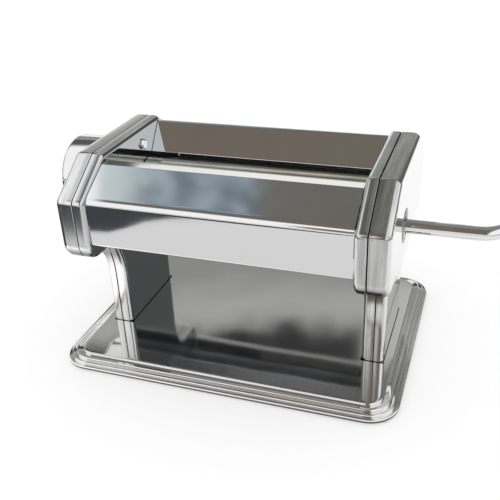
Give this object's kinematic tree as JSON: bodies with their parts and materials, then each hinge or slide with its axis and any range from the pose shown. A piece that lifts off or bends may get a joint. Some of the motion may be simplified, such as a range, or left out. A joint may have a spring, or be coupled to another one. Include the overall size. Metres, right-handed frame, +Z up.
{
  "type": "clay press machine",
  "caption": "Hand-cranked clay press: stamped sheet sides on a stepped base, geared rollers, thickness knob and a pull-out crank.",
  "frame": {"origin": "on the table under the middle of the overall box", "axes": "+X along the rollers from the knob to the crank, +Y from the front guard to the rear, +Z up"},
  "size_m": [0.3926, 0.157, 0.127],
  "materials": {
    "polished_sheet": "polished",
    "roller_steel": "ground",
    "gear_steel": "machined",
    "zinc_steel": "zinc plated",
    "bearing_nylon": "matte",
    "grip_plastic": "satin",
    "foot_rubber": "matte"
  },
  "bodies": {
    "frame": {"base_plate": "polished_sheet", "rubber_foot_front_left": "foot_rubber", "rubber_foot_front_right": "foot_rubber", "rubber_foot_rear_left": "foot_rubber", "rubber_foot_rear_right": "foot_rubber", "left_side_plate": "polished_sheet", "right_side_plate": "polished_sheet", "left_outer_cover": "polished_sheet", "right_outer_cover": "polished_sheet", "front_guard": "polished_sheet", "rear_guard": "polished_sheet", "front_bush_left": "bearing_nylon", "front_bush_right": "bearing_nylon", "crank_hole_ring": "gear_steel", "knob_bush": "bearing_nylon", "front_scraper": "zinc_steel", "rear_scraper": "zinc_steel", "front_tie_rod": "zinc_steel", "rear_tie_rod": "zinc_steel", "tie_nut_front_left": "zinc_steel", "tie_nut_front_right": "zinc_steel", "tie_nut_rear_left": "zinc_steel", "tie_nut_rear_right": "zinc_steel", "cover_post_left": "zinc_steel", "cover_post_right": "zinc_steel", "cover_screw_left": "polished_sheet", "cover_screw_right": "polished_sheet"},
    "front_roller": {"front_roller": "roller_steel", "front_roller_gear": "gear_steel"},
    "rear_carrier": {"bearing_block_left": "bearing_nylon", "bearing_block_right": "bearing_nylon"},
    "rear_roller": {"rear_roller": "roller_steel", "rear_roller_gear": "gear_steel"},
    "eccentric": {"eccentric_shaft": "gear_steel", "knob_washer": "zinc_steel", "knob_screw": "zinc_steel", "knob_spring": "gear_steel"},
    "knob": {"knob": "polished_sheet", "index_pin": "gear_steel"},
    "crank": {"crank_rod": "polished_sheet", "grip_ferrule": "polished_sheet", "grip_end_nut": "polished_sheet"},
    "grip": {"crank_grip": "grip_plastic"}
  },
  "joints": [
    {"name": "roller_spin", "type": "hinge", "parent": "frame", "child": "front_roller", "pos_m": [-0.06818, -0.0153, 0.091], "axis": [1, 0, 0], "continuous": true},
    {"name": "knob_turn", "type": "hinge", "parent": "frame", "child": "eccentric", "pos_m": [-0.06818, 0.0153, 0.091], "axis": [1, 0, 0], "range_deg": [-80, 80]},
    {"name": "rear_roller_shift", "type": "slide", "parent": "frame", "child": "rear_carrier", "axis": [0, 1, 0], "range_m": [-0.00143, 0.00143]},
    {"name": "rear_roller_spin", "type": "hinge", "parent": "rear_carrier", "child": "rear_roller", "pos_m": [-0.06818, 0.0153, 0.091], "axis": [1, 0, 0], "continuous": true},
    {"name": "knob_pull", "type": "slide", "parent": "eccentric", "child": "knob", "axis": [-1, 0, 0], "range_m": [0, 0.0045], "stiffness_N_per_m": 1000, "springref_m": -0.003, "deforming": ["knob_spring"]},
    {"name": "crank_pull", "type": "slide", "parent": "front_roller", "child": "crank", "axis": [1, 0, 0], "range_m": [0, 0.016]},
    {"name": "grip_spin", "type": "hinge", "parent": "crank", "child": "grip", "pos_m": [0.1589, 0.05904, 0.1068], "axis": [1, 0, 0], "continuous": true}
  ],
  "couplings": [
    {"joint": "rear_roller_spin", "follows": "roller_spin", "ratio": -1},
    {"joint": "rear_roller_shift", "follows": "knob_turn", "m_per_rad": -0.001023}
  ]
}
